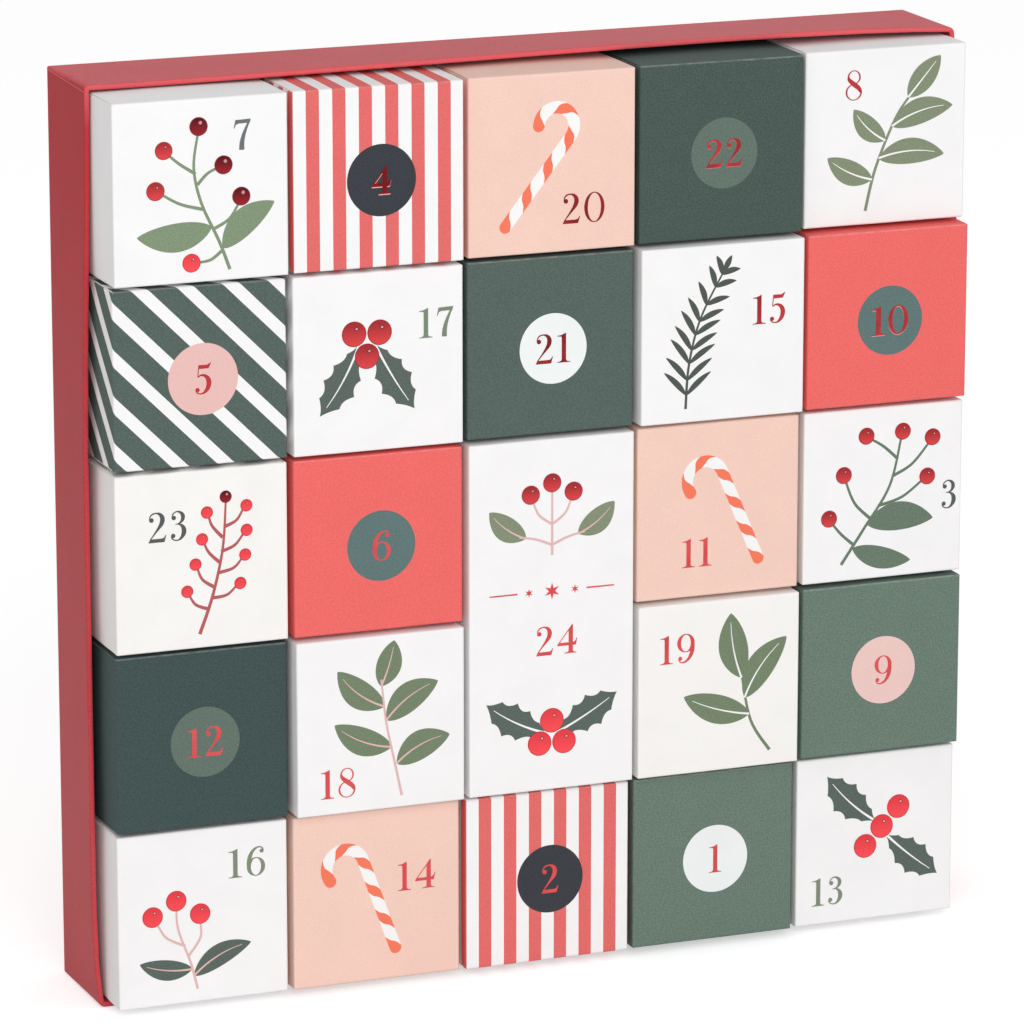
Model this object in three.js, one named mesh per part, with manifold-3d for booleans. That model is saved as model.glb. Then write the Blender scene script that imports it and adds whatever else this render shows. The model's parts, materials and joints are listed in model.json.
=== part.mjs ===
// An advent calendar: an open-front tray of board covered in red paper, which holds 24 numbered
// folding cartons in five columns and five rows. The carton for day 24 is two rows tall.
// Millimetres. +Z is up, the carton fronts face -Y, and the origin is at the middle of the footprint.

import * as THREE from 'three';
import { mergeVertices } from 'three/addons/utils/BufferGeometryUtils.js';
import Module from 'manifold-3d';

const wasm = await Module();
wasm.setup();

// Folding cartons
const CARD = 0.5;
const FOLD_RADIUS = 0.6;
const FRONT_WIDTH = 57.4;
const FRONT_HEIGHT = 58.2;
const CARTON_DEPTH = 51.2;
const SIDE_BULGE = 0.3;
const LID_RISE = 0.6;
const BASE_SAG = 0.4;
const DUST_FLAP_LENGTH = 15;
const DUST_FLAP_SHOULDER = 3;
const LID_SIDE_SETBACK = 0.2;
const TONGUE_LENGTH = 14;
const TONGUE_LEAN = 2.5;
const TONGUE_SETBACK = 3.5;
const FOLD_LIP = 0.4;
const SLIT = 0.1;

// Places in the tray
const COLUMN_GAP = 1.4;
const ROW_GAP = 0.5;
const WALL_CLEARANCE = 0.3;
const BACK_CLEARANCE = 0.3;

// Tray
const BOARD = 1.2;
const PAPER = 0.2;
const GLUE_LINE = 0.05;
const TURN_IN = 14;
const SIDE_WALL_BOW = 2.4;
const TOP_WALL_BOW = 2;
const RIM_CORNER_RADIUS = 2.2;
const BACK_CORNER_RADIUS = 0.6;
const BOW_FLATNESS = 6;

// Steps along curved stretches
const FOLD_STEPS = 2;
const BULGE_STEPS = 3;
const WALL_STEPS = 8;

// Days by place, from the top left, and how far each carton stands proud of the rim. A day that is
// named in two rows has a carton that is two rows tall.
const DAYS = [
  ['07', '04', '20', '22', '08'],
  ['05', '17', '21', '15', '10'],
  ['23', '06', '24', '11', '03'],
  ['12', '18', '24', '19', '09'],
  ['16', '14', '02', '01', '13'],
];
const PROUD = [
  [20.5, 19.5, 18, 17, 14],
  [17.5, 18.5, 17, 19.5, 18],
  [17, 17.5, 18.5, 16.5, 16.5],
  [15, 19, 18.5, 18.5, 17],
  [13.5, 14, 15, 14.5, 14],
];

const PAPERS = [
  { colour: 0xf4f3f1, days: ['03', '07', '08', '13', '15', '16', '17', '18', '19', '23', '24'] },
  { colour: 0xf0c8b8, days: ['11', '14', '20'] },
  { colour: 0xe0525a, days: ['02', '04', '06', '10'] },
  { colour: 0x43554f, days: ['05', '12', '21', '22'] },
  { colour: 0x5d7566, days: ['01', '09'] },
];
const TRAY_RED = 0xc23c44;
const GREYBOARD = 0x9b968c;
const LINING_WHITE = 0xe9e6e0;
const CARD_ROUGHNESS = 0.75;
const COVER_ROUGHNESS = 0.7;
const BOARD_ROUGHNESS = 0.95;
const LINING_ROUGHNESS = 0.9;

const rows = DAYS.length;
const columns = DAYS[0].length;
const cartonWidth = FRONT_WIDTH + 2 * SIDE_BULGE;
const cartonHeight = FRONT_HEIGHT + LID_RISE + BASE_SAG;
const columnPitch = cartonWidth + COLUMN_GAP;
const rowPitch = cartonHeight + ROW_GAP;
const wall = BOARD + 2 * (PAPER + GLUE_LINE);
const leastProud = Math.min(...PROUD.flat());
const mostProud = Math.max(...PROUD.flat());
const trayWidth = (columns - 1) * columnPitch + cartonWidth + 2 * (WALL_CLEARANCE + wall);
const trayHeight = (rows - 1) * rowPitch + cartonHeight + ROW_GAP + WALL_CLEARANCE + 2 * wall;
const trayDepth = CARTON_DEPTH - leastProud + BACK_CLEARANCE + wall;
const rimY = (mostProud - trayDepth) / 2;
const backY = rimY + trayDepth;

function toSolid(geometry) {
  geometry.deleteAttribute('normal');
  geometry.deleteAttribute('uv');
  const merged = mergeVertices(geometry, 1e-5);
  return new wasm.Manifold(new wasm.Mesh({
    numProp: 3,
    vertProperties: new Float32Array(merged.attributes.position.array),
    triVerts: new Uint32Array(merged.index.array),
  }));
}

function toGeometry(solid) {
  const mesh = solid.getMesh();
  const geometry = new THREE.BufferGeometry();
  geometry.setAttribute('position', new THREE.BufferAttribute(mesh.vertProperties, 3));
  geometry.setIndex(new THREE.BufferAttribute(mesh.triVerts, 1));
  geometry.computeVertexNormals();
  return geometry;
}

function block(low, high) {
  const size = high.map((value, axis) => value - low[axis]);
  const geometry = new THREE.BoxGeometry(...size);
  geometry.translate(...low.map((value, axis) => value + size[axis] / 2));
  return toSolid(geometry);
}

function extrude(points, length) {
  const shape = new THREE.Shape(points);
  return new THREE.ExtrudeGeometry(shape, { depth: length, bevelEnabled: false });
}

// A plan outline in x and y, standing from one height to another.
function upright(points, low, high) {
  const geometry = extrude(points, high - low);
  geometry.translate(0, 0, low);
  return toSolid(geometry);
}

// A side outline in y and z, running from one x to another.
function crosswise(points, low, high) {
  const geometry = extrude(points, high - low);
  geometry.applyMatrix4(new THREE.Matrix4().makeBasis(
    new THREE.Vector3(0, 1, 0), new THREE.Vector3(0, 0, 1), new THREE.Vector3(1, 0, 0)));
  geometry.translate(low, 0, 0);
  return toSolid(geometry);
}

function arc(centreX, centreY, radius, fromDegrees, toDegrees, steps) {
  const points = [];
  for (let i = 0; i <= steps; i += 1) {
    const angle = THREE.MathUtils.degToRad(fromDegrees + (toDegrees - fromDegrees) * i / steps);
    points.push(new THREE.Vector2(centreX + radius * Math.cos(angle), centreY + radius * Math.sin(angle)));
  }
  return points;
}

// A rounded rectangle, anticlockwise from the low left corner, with points at the given places along
// its top and up its two sides.
function roundedRectangle(low, high, radius, across, up) {
  const right = up.map((y) => new THREE.Vector2(high.x, y));
  const top = across.map((x) => new THREE.Vector2(x, high.y)).reverse();
  const left = up.map((y) => new THREE.Vector2(low.x, y)).reverse();
  return [
    ...arc(low.x + radius, low.y + radius, radius, 180, 270, FOLD_STEPS),
    ...arc(high.x - radius, low.y + radius, radius, 270, 360, FOLD_STEPS),
    ...right,
    ...arc(high.x - radius, high.y - radius, radius, 0, 90, FOLD_STEPS),
    ...top,
    ...arc(low.x + radius, high.y - radius, radius, 90, 180, FOLD_STEPS),
    ...left,
  ];
}

// 1 halfway along a panel and 0 at both of its ends.
function crown(place, length) {
  return 1 - (2 * place / length - 1) ** 2;
}

function evenPlaces(length, steps) {
  return Array.from({ length: steps - 1 }, (_, i) => length * (i + 1) / steps);
}

// The tube of a carton seen from above, with its side panels bulging outward.
function cartonPlan(inset) {
  const low = new THREE.Vector2(-FRONT_WIDTH / 2 + inset, inset);
  const high = new THREE.Vector2(FRONT_WIDTH / 2 - inset, CARTON_DEPTH - inset);
  const radius = FOLD_RADIUS - inset;
  const outline = roundedRectangle(low, high, radius, [], evenPlaces(CARTON_DEPTH, BULGE_STEPS));
  for (const point of outline) {
    point.x += Math.sign(point.x) * SIDE_BULGE * crown(point.y, CARTON_DEPTH);
  }
  return outline;
}

// Upper surface of the tuck lid, and the underside that the dust flaps touch.
function lidTop(y, height) {
  return height - LID_RISE * (1 - crown(y, CARTON_DEPTH));
}

function flapTop(y, height) {
  return lidTop(y, height) - CARD - SLIT;
}

function baseCurve(inset) {
  const points = [];
  const start = inset > 0 ? inset : FOLD_RADIUS;
  for (let i = 0; i <= BULGE_STEPS; i += 1) {
    const y = start + (CARTON_DEPTH - 2 * start) * i / BULGE_STEPS;
    points.push(new THREE.Vector2(y, inset + BASE_SAG * (1 - crown(y, CARTON_DEPTH))));
  }
  return points;
}

function flapCurve(from, to, height) {
  const points = [];
  for (let i = 0; i <= BULGE_STEPS; i += 1) {
    const y = from + (to - from) * i / BULGE_STEPS;
    points.push(new THREE.Vector2(y, flapTop(y, height)));
  }
  return points;
}

// The carton without its lid, seen from the side: the front panel stops below the lid's fold and the
// back panel comes up level with the lid.
function cartonSide(height) {
  const foldTop = height - LID_RISE;
  const frontEdge = foldTop - FOLD_RADIUS - FOLD_LIP - SLIT;
  const cornerZ = BASE_SAG + FOLD_RADIUS;
  return [
    ...arc(FOLD_RADIUS, cornerZ, FOLD_RADIUS, 180, 240, FOLD_STEPS),
    ...baseCurve(0),
    ...arc(CARTON_DEPTH - FOLD_RADIUS, cornerZ, FOLD_RADIUS, 300, 360, FOLD_STEPS),
    new THREE.Vector2(CARTON_DEPTH, foldTop),
    new THREE.Vector2(CARTON_DEPTH - CARD, foldTop),
    ...flapCurve(CARTON_DEPTH - CARD, CARD + SLIT, height),
    new THREE.Vector2(CARD + SLIT, frontEdge),
    new THREE.Vector2(0, frontEdge),
  ];
}

function dustFlaps(height) {
  const from = DUST_FLAP_SHOULDER;
  const to = CARTON_DEPTH - DUST_FLAP_SHOULDER - TONGUE_LEAN;
  const upper = flapCurve(from, to, height);
  const lower = flapCurve(to, from, height);
  for (const point of lower) {
    point.y -= CARD;
  }
  const outer = cartonWidth / 2;
  const inner = FRONT_WIDTH / 2 - DUST_FLAP_LENGTH;
  const outline = [...upper, ...lower].reverse();
  return crosswise(outline, -outer, -inner).add(crosswise(outline, inner, outer));
}

// A glued tube of card with its base closed, two dust flaps folded in at the top, and no lid.
function cartonShell(height) {
  const skin = upright(cartonPlan(0), 0, height).intersect(
    crosswise(cartonSide(height), -cartonWidth, cartonWidth));
  const hollowSide = [
    ...baseCurve(CARD),
    new THREE.Vector2(CARTON_DEPTH - CARD, 2 * height),
    new THREE.Vector2(CARD, 2 * height),
  ];
  const hollow = upright(cartonPlan(CARD), 0, 2 * height).intersect(
    crosswise(hollowSide, -cartonWidth, cartonWidth));
  const flaps = dustFlaps(height).intersect(skin);
  return toGeometry(skin.subtract(hollow).add(flaps));
}

// The outline of a strip of card, from the points of its outer surface.
function strip(outer, thickness) {
  const inner = outer.map((point, i) => {
    const before = outer[Math.max(i - 1, 0)];
    const after = outer[Math.min(i + 1, outer.length - 1)];
    const along = new THREE.Vector2().subVectors(after, before).normalize();
    return new THREE.Vector2(point.x + along.y * thickness, point.y - along.x * thickness);
  });
  return [...outer, ...inner.reverse()].reverse();
}

// The lid's panel, its fold at the front, and the tongue that tucks in behind at the back.
function tuckLid(height) {
  const foldTop = height - LID_RISE;
  const foldZ = foldTop - FOLD_RADIUS;
  const tuckY = CARTON_DEPTH - CARD - SLIT;
  const panelStart = FOLD_RADIUS;
  const panelEnd = tuckY - FOLD_RADIUS;
  const panel = [];
  for (let i = 1; i < BULGE_STEPS; i += 1) {
    const y = panelStart + (panelEnd - panelStart) * i / BULGE_STEPS;
    panel.push(new THREE.Vector2(y, lidTop(y, height)));
  }
  const outer = [
    new THREE.Vector2(0, foldZ - FOLD_LIP),
    ...arc(FOLD_RADIUS, foldZ, FOLD_RADIUS, 180, 90, FOLD_STEPS),
    ...panel,
    ...arc(panelEnd, foldZ, FOLD_RADIUS, 90, 0, FOLD_STEPS),
    new THREE.Vector2(tuckY - TONGUE_LEAN / 4, foldZ - TONGUE_LENGTH / 2),
    new THREE.Vector2(tuckY - TONGUE_LEAN, foldZ - TONGUE_LENGTH),
  ];
  const half = FRONT_WIDTH / 2 - LID_SIDE_SETBACK;
  const tongueHalf = half - TONGUE_SETBACK;
  const low = foldZ - 2 * TONGUE_LENGTH;
  let lid = crosswise(strip(outer, CARD), -half, half);
  for (const [left, right] of [[-cartonWidth, -tongueHalf], [tongueHalf, cartonWidth]]) {
    lid = lid.subtract(block([left, panelEnd, low], [right, CARTON_DEPTH, height]));
    lid = lid.subtract(block([left, CARTON_DEPTH / 2, low], [right, CARTON_DEPTH, foldZ]));
  }
  return toGeometry(lid);
}

// Places along a tray wall, closer together towards its corners, where the bow turns most.
function crowdedPlaces(length) {
  return Array.from({ length: WALL_STEPS - 1 }, (_, i) => (
    length * (1 - Math.cos(Math.PI * (i + 1) / WALL_STEPS)) / 2));
}

// A place on a tray wall bows outward with its share of the way from the back to the rim.
function bowed(point, share) {
  const fullness = (place) => 1 - Math.abs(2 * place - 1) ** BOW_FLATNESS;
  const across = 2 * point.x / trayWidth;
  const upward = point.y / trayHeight;
  return new THREE.Vector2(
    point.x + across * SIDE_WALL_BOW * share * fullness(upward),
    point.y + upward * TOP_WALL_BOW * share * fullness((across + 1) / 2));
}

function traySection(inset, y) {
  const share = (backY - y) / trayDepth;
  const cornerRadius = THREE.MathUtils.lerp(BACK_CORNER_RADIUS, RIM_CORNER_RADIUS, share);
  const radius = Math.max(cornerRadius - inset, PAPER);
  const low = new THREE.Vector2(-trayWidth / 2 + inset, inset);
  const high = new THREE.Vector2(trayWidth / 2 - inset, trayHeight - inset);
  const across = crowdedPlaces(trayWidth).map((place) => place - trayWidth / 2);
  return roundedRectangle(low, high, radius, across, crowdedPlaces(trayHeight))
    .map((point) => bowed(point, share));
}

// A closed surface through outlines of the tray, each given by its inset from the outer surface and its
// depth. It is capped at its first and last outlines, or else runs on from the last to the first. All
// its walls are split along the same diagonals, so that nested lofts keep their distance.
function loft(outlines, capped) {
  const positions = [];
  const triangles = [];
  for (const [inset, y] of outlines) {
    for (const point of traySection(inset, y)) {
      positions.push(point.x, y, point.y);
    }
  }
  const count = positions.length / 3 / outlines.length;
  const eachSide = (visit) => {
    for (let i = 0; i < count; i += 1) {
      visit(i, (i + 1) % count);
    }
  };
  const bands = capped ? outlines.length - 1 : outlines.length;
  for (let band = 0; band < bands; band += 1) {
    const following = (band + 1) % outlines.length;
    const here = band * count;
    const there = following * count;
    const deeper = outlines[following][1] >= outlines[band][1];
    eachSide((i, next) => {
      if (deeper) {
        triangles.push(here + i, there + next, here + next);
        triangles.push(here + i, there + i, there + next);
      } else {
        triangles.push(here + i, there + i, here + next);
        triangles.push(there + i, there + next, here + next);
      }
    });
  }
  if (capped) {
    const last = (outlines.length - 1) * count;
    const firstMiddle = positions.length / 3;
    positions.push(0, outlines[0][1], trayHeight / 2);
    positions.push(0, outlines[outlines.length - 1][1], trayHeight / 2);
    eachSide((i, next) => {
      triangles.push(firstMiddle, i, next);
      triangles.push(firstMiddle + 1, last + next, last + i);
    });
  }
  const geometry = new THREE.BufferGeometry();
  geometry.setAttribute('position', new THREE.Float32BufferAttribute(positions, 3));
  geometry.setIndex(triangles);
  return toSolid(geometry);
}

// One sheet over the back and the four walls, turned in over the rim. Walls that nest in each other
// all have an outline where the turned-in edge ends, so that they bow alike.
function coverPaper() {
  const edgeY = rimY + TURN_IN;
  return toGeometry(loft([
    [PAPER, backY - PAPER],
    [PAPER, edgeY],
    [PAPER, rimY + PAPER],
    [wall - PAPER, rimY + PAPER],
    [wall - PAPER, edgeY],
    [wall, edgeY],
    [wall, rimY],
    [0, rimY],
    [0, edgeY],
    [0, backY],
  ], true));
}

const boardInset = PAPER + GLUE_LINE;
const backBoardY = backY - boardInset - BOARD;

// A flat sheet parallel to the back, as wide and as high as the tray less an inset.
function backSheet(inset, fromY, toY) {
  const low = new THREE.Vector2(-trayWidth / 2 + inset, inset);
  const high = new THREE.Vector2(trayWidth / 2 - inset, trayHeight - inset);
  const radius = Math.max(BACK_CORNER_RADIUS - inset, PAPER);
  const geometry = extrude(roundedRectangle(low, high, radius, [], []), toY - fromY);
  geometry.rotateX(Math.PI / 2);
  geometry.translate(0, toY, 0);
  return toGeometry(toSolid(geometry));
}

function backBoard() {
  return backSheet(boardInset, backBoardY, backY - boardInset);
}

// The four wall boards butt together at the corners: the top and bottom ones run the full width.
function wallBoards() {
  const innerInset = boardInset + BOARD;
  const frontY = rimY + boardInset;
  const edgeY = rimY + TURN_IN;
  const rearY = backBoardY - GLUE_LINE;
  const ring = loft([
    [boardInset, frontY],
    [boardInset, edgeY],
    [boardInset, rearY],
    [innerInset, rearY],
    [innerInset, edgeY],
    [innerInset, frontY],
  ], false);
  const highJoint = trayHeight - innerInset;
  const far = trayWidth;
  const slab = (x, z) => ring.intersect(block([x[0], -far, z[0]], [x[1], far, z[1]]));
  return {
    top_board: toGeometry(slab([-far, far], [highJoint, 2 * trayHeight])),
    bottom_board: toGeometry(slab([-far, far], [-far, innerInset])),
    left_board: toGeometry(slab([-far, 0], [innerInset + GLUE_LINE, highJoint - GLUE_LINE])),
    right_board: toGeometry(slab([0, far], [innerInset + GLUE_LINE, highJoint - GLUE_LINE])),
  };
}

function liningPaper() {
  const back = backBoardY - GLUE_LINE;
  return backSheet(wall, back - PAPER, back);
}

function addMesh(group, name, geometry, colour, roughness) {
  const material = new THREE.MeshStandardMaterial({ color: colour, roughness, metalness: 0 });
  const mesh = new THREE.Mesh(geometry, material);
  mesh.name = name;
  group.add(mesh);
}

function paperOf(day) {
  return PAPERS.find((paper) => paper.days.includes(day)).colour;
}

function addCarton(calendar, day, column, row) {
  const rowsTall = DAYS.filter((daysInRow) => daysInRow[column] === day).length;
  const height = cartonHeight + (rowsTall - 1) * rowPitch;
  const lowestRow = rows - row - rowsTall;
  const carton = new THREE.Group();
  carton.position.set(
    (column - (columns - 1) / 2) * columnPitch,
    rimY - PROUD[row][column],
    wall + ROW_GAP + lowestRow * rowPitch);
  addMesh(carton, `carton_${day}`, cartonShell(height), paperOf(day), CARD_ROUGHNESS);
  addMesh(carton, `lid_${day}`, tuckLid(height), paperOf(day), CARD_ROUGHNESS);
  calendar.add(carton);
}

const calendar = new THREE.Group();
addMesh(calendar, 'cover_paper', coverPaper(), TRAY_RED, COVER_ROUGHNESS);
addMesh(calendar, 'back_board', backBoard(), GREYBOARD, BOARD_ROUGHNESS);
for (const [name, geometry] of Object.entries(wallBoards())) {
  addMesh(calendar, name, geometry, GREYBOARD, BOARD_ROUGHNESS);
}
addMesh(calendar, 'lining_paper', liningPaper(), LINING_WHITE, LINING_ROUGHNESS);
DAYS.forEach((daysInRow, row) => {
  daysInRow.forEach((day, column) => {
    const continuesAbove = row > 0 && DAYS[row - 1][column] === day;
    if (!continuesAbove) {
      addCarton(calendar, day, column, row);
    }
  });
});

export default calendar;
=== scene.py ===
import json
import math
import random
from types import SimpleNamespace

import bmesh
import bpy
from mathutils import Matrix, Vector, noise
from mathutils.geometry import delaunay_2d_cdt


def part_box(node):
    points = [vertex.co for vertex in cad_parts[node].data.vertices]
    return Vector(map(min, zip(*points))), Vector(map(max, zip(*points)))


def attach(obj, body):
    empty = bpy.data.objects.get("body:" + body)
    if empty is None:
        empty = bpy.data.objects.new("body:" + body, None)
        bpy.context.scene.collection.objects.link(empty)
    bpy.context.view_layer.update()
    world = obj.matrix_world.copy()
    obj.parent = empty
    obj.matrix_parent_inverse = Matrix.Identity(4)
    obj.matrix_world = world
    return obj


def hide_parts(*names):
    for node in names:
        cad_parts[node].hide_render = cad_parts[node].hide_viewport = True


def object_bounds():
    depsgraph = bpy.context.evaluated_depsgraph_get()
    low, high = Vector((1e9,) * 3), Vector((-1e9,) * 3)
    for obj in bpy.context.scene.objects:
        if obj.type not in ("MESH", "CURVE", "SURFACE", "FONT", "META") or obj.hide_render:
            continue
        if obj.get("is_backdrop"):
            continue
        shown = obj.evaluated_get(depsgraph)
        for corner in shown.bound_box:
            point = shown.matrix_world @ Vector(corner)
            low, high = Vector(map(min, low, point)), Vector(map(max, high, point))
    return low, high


# An advent calendar: a red paper-covered tray on its edge, with 24 numbered folding cartons.
# Sizes are in millimetres and are turned into metres where a mesh is made.
MM = 0.001

# Camera, fitted to the corners of the carton fronts in a frame of 1024 pixels
CAMERA_AZIMUTH = -21.53
CAMERA_ELEVATION = 14.14
CAMERA_PLACE = (-698.9, -1764.1, 627.4)
FOCAL_PIXELS = 5969
FRAME_PIXELS = 1024
SENSOR_WIDTH = 36
CLIP_END = 20

# Cartons: the folded card stays this far inside the CAD carton's box
SIDE_SWELL = 0.27
BASE_SAG = 0.4
FRONT_RECESS = 0.16
# Card thickness and the radii of its folds
CARD = 0.42
FOLD = 0.7
FLAP_FOLD = 0.2
# Dust flaps, and the white shoulders beside them
FLAP_DROP = 0.44
FLAP_LENGTH = 15
FLAP_SHOULDER = 3
SHOULDER_EDGE = 0.2
CUT = 0.1
# Lid and base
LID_INSET = 0.15
LID_RISE = 0.55
TONGUE_LENGTH = 14
TONGUE_LEAN = 2.5
SLIT = 0.05
WAVINESS = 0.06
WAVE_LENGTH = 18
TOLERANCE = 0.001
SHARP_ANGLE = math.radians(40)

# Printing: each layer of ink stands this much above the one under it
INK_STEP = 0.03
NUMBER_HEIGHT = 9.7
NUMBER_SPACING = 15
# Motifs are drawn in hundredths of a small carton's front
HUNDREDTH = 0.574
DOT_RADIUS = 11.6
DOT_PLACE = (51.5, 48.7)

# Tray
BOARD_WALL = 1.7
BOARD = 1.2
GLUE_LINE = 0.05
PAPER = 0.2
TURN_IN = 14
SIDE_WALL_BOW = 2.4
TOP_WALL_BOW = 2
RIM_CORNER_RADIUS = 1.7
BACK_CORNER_RADIUS = 0.6
BOW_FLATNESS = 6
LEFT_BOW_REACH = 0.42
TOP_BOW_REACH = 0.78
WALL_STEPS = 14
RIM_ROUNDING = 0.7

STUDIO_WHITE = (1, 1, 1, 1)

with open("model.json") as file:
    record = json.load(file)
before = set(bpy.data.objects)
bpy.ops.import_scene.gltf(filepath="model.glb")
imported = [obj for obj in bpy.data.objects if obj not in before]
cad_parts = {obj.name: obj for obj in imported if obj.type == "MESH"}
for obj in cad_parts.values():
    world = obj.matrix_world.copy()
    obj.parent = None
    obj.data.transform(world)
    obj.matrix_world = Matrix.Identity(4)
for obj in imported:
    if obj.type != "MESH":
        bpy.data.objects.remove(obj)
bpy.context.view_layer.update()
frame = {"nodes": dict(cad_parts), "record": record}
slot_of_node = {part["node"]: part["material_slot"] for part in frame["record"]["subparts"]}


def linear(colour):
    channels = [int(colour[i:i + 2], 16) / 255 for i in (1, 3, 5)]
    return [c / 12.92 if c <= 0.04045 else ((c + 0.055) / 1.055) ** 2.4 for c in channels]


def in_scene(name, data):
    made = bpy.data.objects.new(name, data)
    bpy.context.scene.collection.objects.link(made)
    return made


def new_object(name, mesh, materials, body, slot=None):
    for material in materials:
        mesh.materials.append(material)
    made = in_scene(name, mesh)
    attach(made, body)
    return made


def scaled_mesh(name, bm):
    """A mesh in metres from a bmesh in millimetres, which is freed."""
    mesh = bpy.data.meshes.new(name)
    bm.to_mesh(mesh)
    bm.free()
    mesh.transform(Matrix.Scale(MM, 4))
    return mesh


def closed_mesh(name, bm):
    bmesh.ops.recalc_face_normals(bm, faces=bm.faces)
    return scaled_mesh(name, bm)


def bridged(rings):
    """A bmesh through rings with the same count of points, and a face over each end."""
    bm = bmesh.new()
    levels = [[bm.verts.new(point) for point in points] for points in rings]
    count = len(levels[0])
    for first, second in zip(levels, levels[1:]):
        for i in range(count):
            following = (i + 1) % count
            bm.faces.new((first[i], second[i], second[following], first[following]))
    bm.faces.new(levels[0])
    bm.faces.new(levels[-1][::-1])
    return bm


MID_NOISE = (0.3, 0.7)


def around(middle, reach):
    return middle - reach, middle + reach


def fill(tree, node, inputs):
    """Gives each named input of a node its value, or a link from another node."""
    for name, value in inputs.items():
        if isinstance(value, bpy.types.NodeSocket):
            tree.links.new(value, node.inputs[name])
        else:
            node.inputs[name].default_value = value


def add_node(tree, kind, inputs, **settings):
    node = tree.nodes.new(kind)
    for name, value in settings.items():
        setattr(node, name, value)
    fill(tree, node, inputs)
    return node


class Finish:
    """A material being made: a Principled shader and the patterns that feed it."""

    def __init__(self, name, roughness):
        self.material = bpy.data.materials.new(name)
        self.material.use_nodes = True
        self.tree = self.material.node_tree
        self.feed({"Roughness": roughness})
        self.place = self.add("ShaderNodeTexCoord").outputs["Object"]

    def feed(self, inputs):
        fill(self.tree, self.tree.nodes["Principled BSDF"], inputs)

    def add(self, kind, inputs=(), **settings):
        return add_node(self.tree, kind, dict(inputs), **settings)

    def noise(self, size, detail=2):
        texture = self.add("ShaderNodeTexNoise", {
            "Vector": self.place, "Scale": 1 / (size * MM), "Detail": detail})
        return texture.outputs["Fac"]

    def spread(self, value, before, after):
        scaled = self.add("ShaderNodeMapRange", {
            "Value": value, "From Min": before[0], "From Max": before[1],
            "To Min": after[0], "To Max": after[1]})
        return scaled.outputs["Result"]

    def math(self, operation, first, second=0.0):
        return self.add("ShaderNodeMath", {0: first, 1: second}, operation=operation).outputs[0]

    def shaded(self, colour, shade):
        scaled = self.add("ShaderNodeVectorMath", {0: linear(colour), "Scale": shade},
                          operation="SCALE")
        return scaled.outputs["Vector"]

    def speckled(self, specks, grain, clouds, blotch):
        """A shade round 1 from fine specks and wide clouds."""
        return self.math("MULTIPLY", self.spread(specks, MID_NOISE, around(1, grain)),
                         self.spread(clouds, MID_NOISE, around(1, blotch)))

    def up_on_map(self, name):
        place = self.add("ShaderNodeUVMap", uv_map=name).outputs["UV"]
        return self.add("ShaderNodeSeparateXYZ", {0: place}).outputs["Y"]

    def mixed(self, share, first, second):
        blend = self.add("ShaderNodeMix", {0: share, 6: first, 7: second}, data_type="RGBA")
        return blend.outputs[2]

    def bump(self, height, depth, strength):
        bump = self.add("ShaderNodeBump", {
            "Height": height, "Distance": depth * MM, "Strength": strength})
        self.feed({"Normal": bump.outputs["Normal"]})


SPECK_SIZE = 0.5
CLOUD_SIZE = 14
BLOTCH = 0.015
# The pale line along the front panel's top fold: how far from the fold it fades, and how much of
# the colour is left in it
FOLD_LINE_FADE = (0.15, 0.6)
FOLD_LINE_PATCH = 3
FOLD_LINE_COLOUR = 0.65


def paper(name, colour, grain=0.06, roughness=0.8, fold_line=0.0, depth=0.03):
    """Uncoated card or paper: fine specks, a faint cloudiness, and an optional paler line where the
    blank is folded over the front panel's top edge."""
    finish = Finish(name, roughness)
    specks = finish.noise(SPECK_SIZE, 3)
    body = finish.shaded(colour, finish.speckled(specks, grain, finish.noise(CLOUD_SIZE), BLOTCH))
    if fold_line:
        from_fold = finish.math("ABSOLUTE", finish.up_on_map("blank"))
        line = finish.spread(from_fold, FOLD_LINE_FADE, (fold_line, 0))
        patchy = finish.spread(finish.noise(FOLD_LINE_PATCH, 3), (0.35, 0.6), (0.35, 1))
        pale = [1 - FOLD_LINE_COLOUR + FOLD_LINE_COLOUR * channel for channel in linear(colour)] + [1]
        body = finish.mixed(finish.math("MULTIPLY", line, patchy), body, pale)
    finish.feed({"Base Color": body,
                 "Roughness": finish.spread(specks, MID_NOISE, around(roughness, 0.05))})
    finish.bump(specks, depth, 0.35)
    return finish.material


FOIL_METALLIC = 0.85
FOIL_PATCH = 7
FOIL_CREASE = 0.9


def foil(name, bright, dark, share=0.5, painted_dome_reflection=False):
    """Stamped metal foil that goes from a bright tone to a dark one in soft patches, or, as painted
    reflection on a domed berry, from the bright foot to the dark head of each shape."""
    finish = Finish(name, 0.3)
    if painted_dome_reflection:
        upward = finish.spread(finish.up_on_map("shape"), (0.1, 0.9), (0, 1))
        grain = finish.spread(finish.noise(SPECK_SIZE), MID_NOISE, around(0, 0.12))
        patches = finish.math("ADD", upward, grain)
    else:
        patches = finish.spread(finish.noise(FOIL_PATCH, 1), (0.35, 0.65), around(share, 0.25))
    creases = finish.noise(FOIL_CREASE)
    finish.feed({"Base Color": finish.mixed(patches, linear(bright) + [1], linear(dark) + [1]),
                 "Roughness": finish.spread(creases, MID_NOISE, (0.24, 0.4)),
                 "Metallic": FOIL_METALLIC})
    finish.bump(creases, 0.02, 0.3)
    return finish.material


def greyboard(name, colour):
    """Recycled board with darker and lighter fibres."""
    finish = Finish(name, 0.95)
    fibres = finish.noise(0.4, 4)
    flecks = finish.spread(finish.noise(1.1, 1), (0.62, 0.7), (1, 0.72))
    shade = finish.math("MULTIPLY", finish.spread(fibres, MID_NOISE, (0.88, 1.1)), flecks)
    finish.feed({"Base Color": finish.shaded(colour, shade)})
    finish.bump(fibres, 0.06, 0.6)
    return finish.material
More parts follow.
